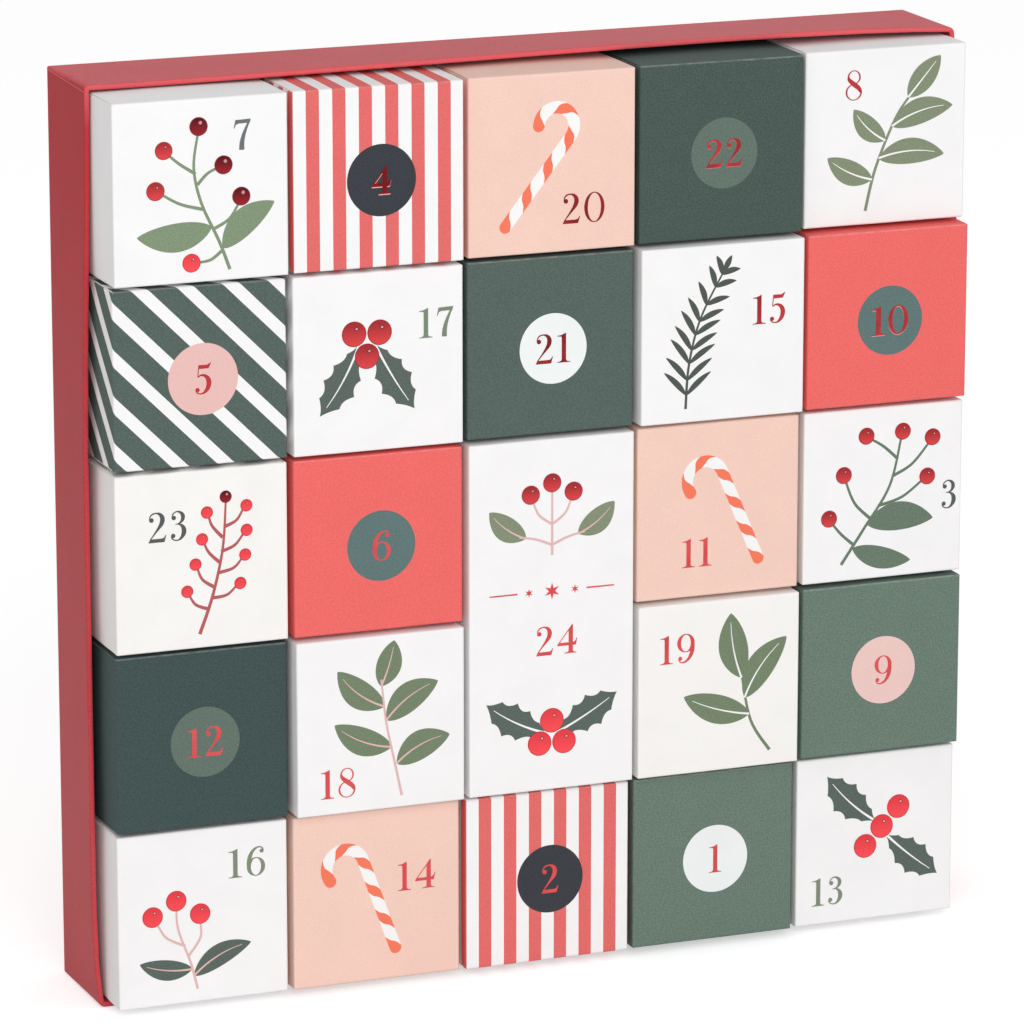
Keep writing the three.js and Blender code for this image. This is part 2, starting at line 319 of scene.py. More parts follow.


# Card stocks: colour, grain, roughness, the strength of the pale line along the top fold and the
# depth of the bumps
STOCK_LOOKS = {
    "white": ("#F9F8F8", 0.012, 0.75, 0, 0.02), "warm_white": ("#F9F7F4", 0.012, 0.75, 0, 0.02),
    "peach": ("#F6D0C1", 0.05, 0.8, 0.35), "coral": ("#F06965", 0.12, 0.8, 0.35),
    "pine": ("#41524D", 0.36, 0.85, 0.45), "spruce": ("#374A48", 0.36, 0.85, 0.45),
    "fir": ("#50605A", 0.32, 0.85, 0.45), "moss": ("#677B6F", 0.26, 0.85, 0.4),
    "pattern_coral": ("#E46A67", 0.12, 0.8, 0.35), "pattern_fir": ("#50605A", 0.32, 0.85, 0.5),
}
STOCKS = {name: paper(f"stock_{name}", *look) for name, look in STOCK_LOOKS.items()}
RAW_CARD = paper("raw_card", "#F1F0EC", 0.03, 0.9, depth=0.05)

# Flat inks: colour and grain
FLAT_INKS = {
    "sage": ("#7F9273", 0.2), "olive": ("#818D72", 0.2), "leaf": ("#718265", 0.22),
    "fern": ("#647765", 0.24), "holly": ("#54615A", 0.26), "needle": ("#474F4A", 0.26),
    "pink": ("#E2BAB6", 0.04), "white": ("#FAF9F8", 0.01), "orange": ("#F8795A", 0.06),
    # The pale dot ink on the berries is a painted highlight
    "twig": ("#B5595A", 0.06), "painted_glint": ("#E3B4AE", 0.05),
    "dot_slate": ("#2A2E35", 0.5), "dot_sage": ("#5D6F65", 0.24), "dot_teal": ("#597371", 0.2),
    "dot_white": ("#F2F6F5", 0.01), "dot_rose": ("#EDC0BA", 0.06), "dot_blush": ("#F0CAC5", 0.06),
    "grey_blue": ("#656E71", 0.1), "grey_green": ("#4F5553", 0.12), "leaf_green": ("#778671", 0.1),
    "moss_green": ("#7F8973", 0.1),
    # The two pale inks below are the painted highlight under the pressed numbers
    "foil_edge": ("#EDB0AA", 0.04), "foil_edge_dim": ("#B5877D", 0.06),
}
# Foils: lighter and darker copies of one red foil, as painted reflection, each with its bright
# tone, dark tone and the dark one's share
FOILS = {
    "foil_bright": ("#D95456", "#BA4043", 0.4), "foil_deep": ("#C03C40", "#842226"),
    "foil_dark": ("#9E2A2E", "#6A1A1C"), "foil_wine": ("#92161E", "#5E0C14"),
}
# Berries: tones of the rim and the body, and the colour of the ring round the pale dot. The three
# are lighter and darker copies of one red foil, as painted reflection, and on the dark berries the
# paler rim and the pale ring are painted highlight
BERRIES = {
    "berry_bright": (("#C23A40", "#A2282E"), ("#EE4C52", "#DA3D45"), "#B4383C"),
    "berry_deep": (("#A4343A", "#84242A"), ("#CE4143", "#9A2B30"), "#7E262A"),
    "berry_dark": (("#8E333A", "#641E25"), ("#8C2028", "#54121A"), "#C98F92"),
}
INKS = {name: paper(f"ink_{name}", *look) for name, look in FLAT_INKS.items()}
INKS.update({name: foil(name, *look) for name, look in FOILS.items()})
for berry, (rim_tones, body_tones, tip_colour) in BERRIES.items():
    INKS[f"{berry}_rim"] = foil(f"{berry}_rim", *rim_tones)
    # Each berry's body goes from a bright foot to a dark head as painted reflection
    INKS[berry] = foil(berry, *body_tones, painted_dome_reflection=True)
    INKS[f"{berry}_tip"] = paper(f"{berry}_tip", tip_colour, 0.05)
PAINTED_REFLECTION_INKS = [INKS[berry] for berry in BERRIES]


def circle(x, y, radius_x, radius_y=None, steps=64):
    radius_y = radius_y or radius_x
    turns = [2 * math.pi * i / steps for i in range(steps)]
    return [(x + radius_x * math.cos(t), y + radius_y * math.sin(t)) for t in turns]


def solid(outline):
    return outline, []


def disc(x, y, radius, steps=64):
    return solid(circle(x, y, radius, steps=steps))


def across_from(along):
    """The unit direction to the left of a plan direction."""
    return Vector((-along.y, along.x)).normalized()


def smooth_line(points, steps):
    """Points along a smooth curve through the given ones, whose third number may be a width."""
    ends = [points[0]] + list(points) + [points[-1]]
    line = []
    for i in range(1, len(ends) - 2):
        a, b, c, d = (Vector(ends[k]) for k in (i - 1, i, i + 1, i + 2))
        for step in range(steps):
            t = step / steps
            line.append(0.5 * (2 * b + (c - a) * t + (2 * a - 5 * b + 4 * c - d) * t * t
                               + (3 * b - a - 3 * c + d) * t ** 3))
    line.append(Vector(ends[-1]))
    return line


def stroke(points, steps=8):
    """Pieces of a ribbon along a smooth curve through points of (x, y, width)."""
    line = smooth_line([tuple(p) for p in points], steps)
    edges = []
    for i, (x, y, width) in enumerate(line):
        before, after = line[max(i - 1, 0)], line[min(i + 1, len(line) - 1)]
        side = across_from(after - before) * width / 2
        edges.append(((x + side.x, y + side.y), (x - side.x, y - side.y)))
    return [solid([edges[i][1], edges[i + 1][1], edges[i + 1][0], edges[i][0]])
            for i in range(len(edges) - 1)]


def tapered(points, start, end):
    """A stem: a stroke whose width goes evenly from one value to another."""
    last = len(points) - 1
    return stroke([(x, y, start + (end - start) * i / last) for i, (x, y) in enumerate(points)])


def leaf_line(base, tip, bend, shares):
    """Points at shares of the way along a leaf's bent middle line, and the direction across it."""
    start, along = Vector(base), Vector(tip) - Vector(base)
    side = across_from(along)
    return side, [start + along * t + side * bend * 4 * t * (1 - t) for t in shares]


LEAF_PEAK = 0.331


def leaf_profile(t):
    """Half the width along a plain leaf, 1 where it is widest."""
    return t ** 0.75 * (1 - t) ** 0.85 / LEAF_PEAK


def blade(base, tip, width, bend, profile, steps):
    """Outline of a leaf from its base to its tip. Its halves follow a profile along its length."""
    shares = [i / steps for i in range(steps + 1)]
    side, middle = leaf_line(base, tip, bend, shares)
    half = [width / 2 * profile(t) for t in shares]
    left = [tuple(m + side * h) for m, h in zip(middle, half)]
    right = [tuple(m - side * h) for m, h in zip(middle, half)]
    return solid(right + left[-2:0:-1])


RIB_REACH = 0.86
RIB_TAPER = 0.75
RIB_STEPS = 6


def midrib(base, tip, bend, width):
    steps = range(RIB_STEPS + 1)
    _, line = leaf_line(base, tip, bend, [RIB_REACH * i / RIB_STEPS for i in steps])
    return stroke([(place.x, place.y, width * (1 - RIB_TAPER * i / RIB_STEPS))
                   for i, place in zip(steps, line)], 4)


HOLLY_POINTS = [(0, 0.06), (0.15, 0.46), (0.36, 0.9), (0.58, 1), (0.8, 0.66), (1, 0)]
HOLLY_HOLLOW = 0.56


def holly_profile(t):
    """Hollow curves between the sharp points along each side of the leaf."""
    for (start, low), (end, high) in zip(HOLLY_POINTS, HOLLY_POINTS[1:]):
        if t <= end:
            share = (t - start) / (end - start)
            middle = HOLLY_HOLLOW * (low + high) / 2
            return low * (1 - share) ** 2 + 2 * middle * share * (1 - share) + high * share ** 2
    return 0


def ring(x, y, radii, walls):
    """An upright oval with its side and end thicknesses."""
    inner = circle(x, y, radii[0] - walls[0], radii[1] - walls[1])
    return circle(x, y, *radii), [inner]


# High-contrast lining figures on a height of 100, each with its width
DIGITS = {
    "0": (72, [ring(36, 50, (36, 51), (12.5, 3))]),
    "1": (47, [solid([(0, 0), (47, 0), (47, 2.4), (38, 3.6), (33.5, 6), (31.5, 10), (31.5, 100.5),
                      (15, 93.5), (0, 91.5), (0, 89.2), (11, 88.6), (14.5, 87), (15.8, 84),
                      (15.8, 10), (13.5, 6), (9, 3.6), (0, 2.4)])]),
    "2": (61, [disc(10.5, 76, 7.8)]
          + stroke([(3.6, 77, 2.5), (6, 88, 4), (14, 96, 5), (26, 98.6, 4.5), (38, 95, 9.5),
                    (46, 86, 14), (48, 74, 16), (44, 61, 14), (35, 48, 9.5), (24, 34, 6),
                    (13, 20, 4), (4, 9, 3.5)])
          + [solid([(0, 0), (54, 0), (61, 24), (58.6, 24), (54.5, 16.5), (49, 13), (42, 12.4),
                    (10, 12.4), (1.5, 6), (0, 3)])]),
    "3": (53, [disc(11, 77.5, 7.4), disc(8, 17.5, 7.4)]
          + stroke([(4.4, 79, 2.5), (8, 90, 4), (20, 98, 4), (33, 95, 8), (41, 86, 12.5),
                    (42, 75, 13), (37, 64, 8.5), (27, 57.5, 4), (15, 56, 1.6)])
          + stroke([(15, 56, 1.6), (28, 55, 4), (39, 49, 10.5), (45, 37, 15.5), (44, 23, 15),
                    (36, 9, 9), (24, 1.8, 4.5), (11, 3.5, 4), (3.5, 10, 4), (1.6, 18, 2.4)])),
    "4": (72, [([(56, 100.5), (53, 100.5), (0, 32), (0, 27.5), (40.5, 27.5), (40.5, 9), (38.5, 5.5),
                 (34, 3.4), (25, 2.4), (25, 0), (69, 0), (69, 2.4), (62, 3.4), (58, 5.5), (56, 9),
                 (56, 27.5), (66.5, 27.5), (72, 52), (69.6, 52), (66, 43.5), (61.5, 39), (56, 38)],
                [[(8.6, 38), (40.5, 38), (40.5, 79)]])]),
    "5": (56, [solid([(12, 97), (42, 96.5), (57, 104), (47, 84.5), (13, 84)]), disc(8.5, 14.5, 7.4)]
          + stroke([(13.4, 92, 3), (11.6, 74, 3), (10.4, 56.5, 3)])
          + stroke([(10.4, 56.5, 3), (19, 62.4, 5), (29, 62.5, 8), (39.5, 57, 12.5), (46.5, 46, 16),
                    (47.5, 32, 16.5), (42, 16, 13.5), (31, 4.5, 7.5), (19, 1.2, 4), (8, 4.5, 4),
                    (2.4, 11, 2.4)])),
    "6": (66, [ring(34, 31.5, (32, 32.5), (14, 3.2)), disc(54.5, 84.5, 7)]
          + stroke([(60.6, 87, 2.4), (56, 95, 4), (46, 98.8, 4.5), (34, 95.5, 7), (22, 85, 10.5),
                    (13.5, 69, 13.5), (9.4, 50, 14.5), (9.2, 32, 14)])),
    "7": (58, [solid([(6, 98), (58, 100), (53.5, 87), (15, 86), (7.5, 82.5), (2.4, 71), (0, 71)])]
          + stroke([(54.5, 95, 6), (44.5, 76, 8), (34, 50, 12), (27.6, 24, 15.5),
                    (26.5, 0, 17.5)])),
    "8": (61, [ring(30.5, 77, (24, 24), (5.5, 3)), ring(30, 26.5, (30, 28), (6, 3))]
          + stroke([(9.6, 82, 5), (11.6, 71, 11), (21, 61, 15), (35, 50, 16.5), (49, 38, 14.5),
                    (55.4, 25, 8)])),
}


def moved(shapes, scale, across=0, up=0):
    def place(outline):
        return [(x * scale + across, y * scale + up) for x, y in outline]
    return [(place(outline), [place(hole) for hole in holes]) for outline, holes in shapes]


DIGITS["9"] = (66, moved(DIGITS["6"][1], -1, 66, 100))


def figures(text, middle, height):
    """A number whose middle is at the given place."""
    total = sum(DIGITS[digit][0] for digit in text) + NUMBER_SPACING * (len(text) - 1)
    scale = height / 100
    across = middle[0] - total * scale / 2
    shapes = []
    for digit in text:
        width, drawing = DIGITS[digit]
        shapes += moved(drawing, scale, across, middle[1] - height / 2)
        across += (width + NUMBER_SPACING) * scale
    return shapes


def signed_area(outline):
    return sum(a[0] * b[1] - b[0] * a[1] for a, b in zip(outline, outline[1:] + outline[:1])) / 2


def joined(shapes):
    """Points and triangles of the area that the shapes cover together."""
    points, faces, owners = [], [], []
    for number, (outline, holes) in enumerate(shapes):
        for edge_loop, is_hole in [(outline, False)] + [(hole, True) for hole in holes]:
            ordered = edge_loop if signed_area(edge_loop) > 0 else edge_loop[::-1]
            faces.append(list(range(len(points), len(points) + len(ordered))))
            points += [Vector(p) for p in ordered]
            owners.append((number, is_hole))
    found = delaunay_2d_cdt(points, [], faces, 1, 1e-5)
    triangles = []
    for triangle, sources in zip(found[2], found[5]):
        inside = {owners[s][0] for s in sources if not owners[s][1]}
        cut = {owners[s][0] for s in sources if owners[s][1]}
        if inside - cut:
            triangles.append(triangle)
    return found[0], triangles


def add_shape_map(mesh, box, shapes):
    """A UV map of where each point lies within the box of its nearest shape."""
    spans = []
    for outline, _ in shapes:
        across, up = [p[0] for p in outline], [p[1] for p in outline]
        spans.append((Vector((min(across), min(up))), Vector((max(across), max(up)))))
    layer = mesh.uv_layers.new(name="shape")
    for corner in mesh.loops:
        spot = mesh.vertices[corner.vertex_index].co
        flat = Vector((spot.x - box.left, spot.z - box.bottom))
        low, high = min(spans, key=lambda span: (flat - (span[0] + span[1]) / 2).length)
        size = high - low
        layer.data[corner.index].uv = ((flat.x - low.x) / size.x, (flat.y - low.y) / size.y)


def plate(name, box, shapes, layer, material):
    """Ink on a carton's front: a thin closed plate that covers the shapes."""
    points, triangles = joined(shapes)
    face_y = box.front - layer * INK_STEP
    sunk_y = box.front + INK_STEP
    count = len(points)
    corners = [(box.left + x, y, box.bottom + z) for y in (face_y, sunk_y) for x, z in points]
    faces = [tuple(t) for t in triangles]
    faces += [tuple(count + i for i in reversed(t)) for t in triangles]
    directed = {(t[i], t[(i + 1) % len(t)]) for t in triangles for i in range(len(t))}
    rim = [(a, b) for a, b in directed if (b, a) not in directed]
    faces += [(b, a, count + a, count + b) for a, b in sorted(rim)]
    mesh = bpy.data.meshes.new(name)
    mesh.from_pydata(corners, [], faces)
    if material in PAINTED_REFLECTION_INKS:
        add_shape_map(mesh, box, shapes)
    bm = bmesh.new()
    bm.from_mesh(mesh)
    bpy.data.meshes.remove(mesh)
    loose = [v for v in bm.verts if not v.link_faces]
    bmesh.ops.delete(bm, geom=loose, context="VERTS")
    new_object(name, scaled_mesh(name, bm), [material], box.body)


def carton_box(day):
    """A carton's place and panel sizes: its front's lower left fold corner, the front, side and
    height between folds, and the lid's length up to its tongue."""
    low, high = (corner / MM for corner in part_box(f"carton_{day}"))
    depth = high.y - low.y - FRONT_RECESS
    return SimpleNamespace(
        day=day, body=f"box_{day}", fullness=random.Random(day).uniform(0.5, 1),
        left=low.x + SIDE_SWELL, front=low.y + FRONT_RECESS, bottom=low.z + BASE_SAG, top=high.z,
        width=high.x - low.x - 2 * SIDE_SWELL, depth=depth, tuck=depth - CARD - SLIT,
        height=high.z - low.z - BASE_SAG)


def bend(past, radius):
    """Steps along the first and the second panel from a fold's sharp corner, for a point that lies
    this far past the fold."""
    if past <= -radius:
        return past, 0.0
    if past >= radius:
        return 0.0, past
    turn = (past + radius) / (2 * radius) * math.pi / 2
    return radius * (math.sin(turn) - 1), radius * (1 - math.cos(turn))


def crown(share, power=2):
    return 1 - abs(2 * share - 1) ** power


def plan_place(box, u):
    """Place round the carton seen from above, with the direction that points into it."""
    width, depth = box.width, box.depth
    corners = [
        (-depth, (0, depth), (-1, 0), (0, -1)),
        (0, (0, 0), (0, -1), (1, 0)),
        (width, (width, 0), (1, 0), (0, 1)),
        (width + depth, (width, depth), (0, 1), (-1, 0)),
        (2 * width + depth, (0, depth), (-1, 0), (0, -1)),
    ]
    at, corner, before, after = min(corners, key=lambda c: abs(u - c[0]))
    first, second = bend(u - at, FOLD)
    place = Vector(corner) + Vector(before) * first + Vector(after) * second
    along = Vector(before) if u < at else Vector(after)
    return place, Vector((-along.y, along.x))


# Share of the lid's rise at its side edges, and how sharply its tongue leans
EDGE_RISE = 0.3
TONGUE_CURVE = 1.5


def folded(box, u, v):
    """Where a point of the flat blank comes to lie. u runs right from the front panel's left fold,
    v up from its top fold."""
    place, into = plan_place(box, u)
    at_top = v > -box.height / 2
    past = v if at_top else -box.height - v
    up = 1 if at_top else -1
    inward = 0.0
    rise = past
    if LID_INSET - TOLERANCE <= u <= box.width - LID_INSET + TOLERANCE:
        rise, inward = bend(past, FOLD)
        if past > box.tuck - FOLD:
            back, fall = bend(past - box.tuck, FOLD)
            lean = TONGUE_LEAN * (max(past - box.tuck, 0) / TONGUE_LENGTH) ** TONGUE_CURVE
            inward = box.tuck + back - lean
            rise = -fall
        if inward > 0:
            sideways = EDGE_RISE + (1 - EDGE_RISE) * crown(u / box.width)
            height = LID_RISE * box.fullness if at_top else BASE_SAG
            rise += height * crown(min(inward / box.depth, 1), 3) * sideways
            wave = noise.noise(Vector((u / WAVE_LENGTH, v / WAVE_LENGTH, int(box.day))))
            rise += WAVINESS * (wave - 0.5)
        into = Vector((0, 1))
    else:
        on_side = u <= box.width + box.depth
        if on_side:
            out = place.y / box.depth
            swell = SIDE_SWELL * crown(out) * crown(min(max(-v / box.height, 0), 1), 4)
            place = place - into * swell
        from_corner = min(abs(place.y), abs(box.depth - place.y))
        if on_side and from_corner >= FLAP_SHOULDER - TOLERANCE:
            rise, inward = bend(past + FLAP_DROP, FLAP_FOLD)
            rise -= FLAP_DROP
    level = box.top if at_top else box.bottom
    spot = place + into * inward
    return box.left + spot.x, box.front + spot.y, level + up * rise


# The blank's grid: a row this far past each bend, the tube's rows below its edge, steps in half a
# fold, and the spacing on panels, lids and flaps
SUPPORT = 0.35
TUBE_EDGE = 0.8
FOLD_STEPS = 3
PANEL_SPACING = 8
LID_SPACING = 6
FLAP_SPACING = 5
FLAT_WELD = 1e-4
FOLDED_WELD = 1e-3


def places(low, high, folds, radius, spacing):
    """Grid places between two ends: close together round each fold and a few on each panel."""
    found = {low, high}
    for fold in folds:
        found |= {fold + radius * k / FOLD_STEPS for k in range(-FOLD_STEPS, FOLD_STEPS + 1)}
        found |= {fold - radius - SUPPORT, fold + radius + SUPPORT}
    stops = sorted({low, high, *folds})
    for start, end in zip(stops, stops[1:]):
        steps = max(round((end - start) / spacing), 1)
        found |= {start + (end - start) * k / steps for k in range(1, steps)}
    kept = []
    for place in sorted(p for p in found if low - TOLERANCE <= p <= high + TOLERANCE):
        if not kept or place - kept[-1] > TOLERANCE:
            kept.append(place)
    return kept


def add_grid(bm, columns, rows):
    corners = [[bm.verts.new((u, v, 0)) for u in columns] for v in rows]
    for lower, upper in zip(corners, corners[1:]):
        for i in range(len(columns) - 1):
            bm.faces.new((lower[i], lower[i + 1], upper[i + 1], upper[i]))


def flat_blank(box):
    """The carton's unfolded blank in its own plane: tube, lid, base and their flaps."""
    width, depth, height = box.width, box.depth, box.height
    bm = bmesh.new()
    folds = [-depth, 0, width, width + depth, 2 * width + depth]
    shoulders = [place + sign * FLAP_SHOULDER for place, sign in
                 [(-depth, 1), (0, -1), (width, 1), (width + depth, -1)]]
    corners = [(-depth, -depth + FLAP_SHOULDER - CUT), (-FLAP_SHOULDER + CUT, LID_INSET - CUT / 2),
               (width - LID_INSET + CUT / 2, width + FLAP_SHOULDER - CUT),
               (width + depth - FLAP_SHOULDER + CUT, 2 * width + depth)]
    columns = set(places(-depth, 2 * width + depth, folds, FOLD, PANEL_SPACING))
    columns |= {LID_INSET, width - LID_INSET, *shoulders, *(u for ends in corners for u in ends)}
    columns = sorted(columns)
    add_grid(bm, columns, places(-height + TUBE_EDGE, -TUBE_EDGE, [], FOLD, PANEL_SPACING))

    lid_rows = places(-TUBE_EDGE, box.tuck + TONGUE_LENGTH, [0, box.tuck], FOLD, LID_SPACING)
    flap_rows = places(-TUBE_EDGE, FLAP_LENGTH - FLAP_DROP, [-FLAP_DROP], FLAP_FOLD, FLAP_SPACING)
    strips = [(LID_INSET, width - LID_INSET, lid_rows)]
    strips += [(*shoulders[i:i + 2], flap_rows) for i in (0, 2)]
    strips += [(low, high, [-TUBE_EDGE, -SHOULDER_EDGE]) for low, high in corners]
    for low, high, rows in strips:
        columns_here = [u for u in columns if low <= u <= high]
        add_grid(bm, columns_here, rows)
        add_grid(bm, columns_here, [-height - v for v in reversed(rows)])
    bmesh.ops.remove_doubles(bm, verts=bm.verts, dist=FLAT_WELD)
    return bm


class Stripes:
    """Stripes at right angles to a direction on the blank, two tones by turns."""

    def __init__(self, direction, period, start, width):
        self.direction = Vector(direction)
        self.period, self.start, self.width = period, start, width

    def lines(self, low, high):
        k = math.floor((low - self.start) / self.period)
        while self.start + k * self.period < high:
            yield self.start + k * self.period
            yield self.start + k * self.period + self.width
            k += 1

    def is_inked(self, u, v):
        along = self.direction.dot(Vector((u, v)))
        return (along - self.start) % self.period >= self.width

    def cut(self, bm):
        along = [self.direction.dot(vert.co.xy) for vert in bm.verts]
        normal = Vector((*self.direction, 0)).normalized()
        for line in self.lines(min(along), max(along)):
            point = normal * line / self.direction.length
            bmesh.ops.bisect_plane(bm, geom=bm.verts[:] + bm.edges[:] + bm.faces[:], dist=FLAT_WELD,
                                   plane_co=point, plane_no=normal)


RAW_OFFSET = 2


def carton_skin(box, stock, pattern=None, stripes=None):
    """The folded carton: card with its printed outside and a raw white inside and edges."""
    bm = flat_blank(box)
    if stripes:
        stripes.cut(bm)
    layer = bm.loops.layers.uv.new("blank")
    for face in bm.faces:
        middle = face.calc_center_median()
        on_flap = (middle.x < 0 or middle.x > box.width) and not -box.height < middle.y < 0
        if stripes and (on_flap or stripes.is_inked(middle.x, middle.y)):
            face.material_index = 1
        face.smooth = True
        for loop in face.loops:
            loop[layer].uv = loop.vert.co.xy
    for vert in bm.verts:
        vert.co = folded(box, vert.co.x, vert.co.y)
    bmesh.ops.remove_doubles(bm, verts=bm.verts, dist=FOLDED_WELD)
    name = f"box_skin_{box.day}"
    mesh = scaled_mesh(f"{name}_sheet", bm)
    for material in (stock, pattern or stock, RAW_CARD, RAW_CARD):
        mesh.materials.append(material)
    is_dyed = stock not in (STOCKS["white"], STOCKS["warm_white"])
    sheet = in_scene(f"{name}_sheet", mesh)
    thick = sheet.modifiers.new("card", "SOLIDIFY")
    thick.thickness = CARD * MM
    thick.offset = -1
    thick.material_offset = RAW_OFFSET
    thick.material_offset_rim = 0 if is_dyed else RAW_OFFSET
    bpy.context.view_layer.update()
    solid_sheet = sheet.evaluated_get(bpy.context.evaluated_depsgraph_get())
    made = bpy.data.meshes.new_from_object(solid_sheet)
    made.name = name
    bpy.data.objects.remove(sheet)
    bpy.data.meshes.remove(mesh)
    made.set_sharp_from_angle(angle=SHARP_ANGLE)
    skin = new_object(name, made, [], box.body, slot_of_node[f"carton_{box.day}"])
    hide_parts(f"carton_{box.day}", f"lid_{box.day}")


BERRY_RIM = 0.4
# A berry's tip in shares of its radius: its place, the ring's outer and inner radius, and the
# radius of the pale dot in it, a painted highlight
TIP_PLACE = (0.2, 0.4)
TIP_RING = (0.19, 0.1)
PAINTED_GLINT = 0.08
TIP_STEPS = 20


def berry_layers(berries, ink):
    # The pale dot in each berry's tip ring is a painted highlight
    tips = [(x + TIP_PLACE[0] * r, y + TIP_PLACE[1] * r, r) for x, y, r in berries]
    rings = []
    for x, y, r in tips:
        outer, inner = (circle(x, y, share * r, steps=TIP_STEPS) for share in TIP_RING)
        rings.append((outer, [inner]))
    return [(f"{ink}_rim", 3, [disc(x, y, r) for x, y, r in berries]),
            (ink, 4, [disc(x, y, r - BERRY_RIM) for x, y, r in berries]),
            (f"{ink}_tip", 5, rings),
            ("painted_glint", 5, [disc(x, y, PAINTED_GLINT * r, TIP_STEPS) for x, y, r in tips])]


PINK_STEM = 0.8


def spray(stems=(), leaves=(), berries=(), leaf="leaf", stem=None, rib=None, berry="berry_bright",
          stem_width=(1.1, 0.8), rib_width=0.7, holly=False):
    """Layers of a botanical motif. Widths of stems and ribs are in mm, all else is in hundredths of
    the front's width. A leaf is (base, tip, width, bend) and a berry (across, up, radius)."""
    layers = []
    stem_ink = stem or leaf
    slim = PINK_STEM if stem == "pink" else 1
    stem_shapes = [piece for points in stems
                   for piece in tapered(points, *(slim * w / HUNDREDTH for w in stem_width))]
    profile, steps = (holly_profile, 100) if holly else (leaf_profile, 40)
    leaf_shapes = [blade(*drawn, profile, steps) for drawn in leaves]
    if stem_ink == leaf:
        leaf_shapes += stem_shapes
    elif stem_shapes:
        layers.append((stem_ink, 2, stem_shapes))
    if leaf_shapes:
        layers.append((leaf, 1, leaf_shapes))
    if rib:
        ribs = [piece for base, tip, _, lean in leaves
                for piece in midrib(base, tip, lean, rib_width / HUNDREDTH)]
        layers.append((rib, 3 if stem_ink == rib else 2, ribs))
    return layers + (berry_layers(berries, berry) if berries else [])


CANE_WIDTH = 7.0
CANE_TIP = 4.4
CANE_SLANT = -1.25
CANE_WAVE = 0.08
CANE_SLICE = 1.5


def heading(angle):
    return Vector((math.cos(angle), math.sin(angle)))


def cane(foot, centre, radius, end_angle, period=18.3, share=0.41):
    """A candy cane: a straight shaft from its foot to where it touches the hook's circle, with
    slanted bands."""
    foot, centre = Vector(foot), Vector(centre)
    to_centre = centre - foot
    start_angle = (math.atan2(to_centre.y, to_centre.x) - math.pi
                   + math.acos(radius / to_centre.length))
    touch = centre + radius * heading(start_angle)
    shaft = (touch - foot).length
    forward = (touch - foot).normalized()
    total = shaft + radius * (math.radians(end_angle) - start_angle)

    def place(along, aside):
        if along <= shaft:
            spot = foot.lerp(touch, along / shaft)
            return tuple(spot + Vector((forward.y, -forward.x)) * aside)
        return tuple(centre + (radius + aside) * heading(start_angle + (along - shaft) / radius))

    def across(along, slant, steps=10):
        points = []
        for i in range(steps + 1):
            side = i / steps - 0.5
            lean = slant * CANE_WIDTH * (side - CANE_WAVE * math.sin(2 * math.pi * side))
            points.append(place(min(max(along + lean, 0), total), side * CANE_WIDTH))
        return points

    def band(low, high, slant):
        slices = max(round((high - low) / CANE_SLICE), 1)
        levels = [across(low + (high - low) * i / slices, slant) for i in range(slices + 1)]
        pieces = [[a[i], a[i + 1], b[i + 1], b[i]]
                  for a, b in zip(levels, levels[1:]) for i in range(len(a) - 1)]
        return [solid(piece) for piece in pieces if abs(signed_area(piece)) > 1e-6]

    def cap(along, beyond, steps=16):
        arc = []
        for i in range(steps + 1):
            turn = math.pi * i / steps
            ahead = place(along, CANE_WIDTH / 2 * math.cos(turn))
            behind = place(along - beyond * 0.01, CANE_WIDTH / 2 * math.cos(turn))
            out = (Vector(ahead) - Vector(behind)).normalized() * CANE_WIDTH / 2 * math.sin(turn)
            arc.append((ahead[0] + out.x, ahead[1] + out.y))
        return solid(arc)

    reach = abs(CANE_SLANT) * CANE_WIDTH
    bands = [cap(0, -1), cap(total, 1)] + band(-reach, CANE_TIP, CANE_SLANT)
    start = CANE_TIP + period * (1 - share)
    while start < total:
        end = start + period * share
        bands += band(start, end if end < total - CANE_TIP else total + reach, CANE_SLANT)
        start += period
    return [("white", 1, band(0, total, 0)), ("orange", 2, bands)]


def star(x, y, outer, inner, points=6):
    corners = [(inner if i % 2 else outer, math.pi * i / points) for i in range(2 * points)]
    return solid([(x + reach * math.sin(turn), y + reach * math.cos(turn))
                  for reach, turn in corners])


def dot(ink):
    return [(ink, 1, [disc(*DOT_PLACE, DOT_RADIUS / HUNDREDTH, 96)])]


# Needles: where on the stem the pairs start and end, their angle and bow, and how much shorter the
# last ones and the one at the tip are
NEEDLE_SPAN = (0.12, 0.96)
NEEDLE_ANGLE = math.radians(47)
NEEDLE_BOW = 0.8
NEEDLE_LOSS = 0.45
NEEDLE_TIP = 0.5


def needle_sprig(stem, pairs, length, width):
    """Pairs of narrow leaves along a stem that shorten towards its tip, and one on its end."""
    line = smooth_line(stem, 24)
    start, end = NEEDLE_SPAN
    leaves = []
    for k in range(pairs):
        share = start + (end - start) * k / (pairs - 1)
        place = round(share * (len(line) - 1))
        ahead = line[place + 1] - line[place]
        reach = length * (1 - NEEDLE_LOSS * share ** 2)
        for side in (1, -1):
            tip = line[place] + reach * heading(math.atan2(ahead.y, ahead.x) + side * NEEDLE_ANGLE)
            leaves.append((line[place], tip, width, -side * NEEDLE_BOW))
    out = (line[-1] - line[-3]).normalized() * length * NEEDLE_TIP
    return leaves + [(line[-1], line[-1] + out, width, 0)]


HOLLY_WIDTH = 21
HOLLY_BERRY = 7.2


def holly(first, second, berries, berry="berry_bright"):
    leaves = [(*first, HOLLY_WIDTH, 2), (*second, HOLLY_WIDTH, -1)]
    return spray(leaves=leaves, berries=[(x, y, HOLLY_BERRY) for x, y in berries], leaf="holly",
                 rib="white", berry=berry, rib_width=0.85, holly=True)


NEEDLE_STEM = [(27, 8), (29, 34), (36, 60), (50, 86)]
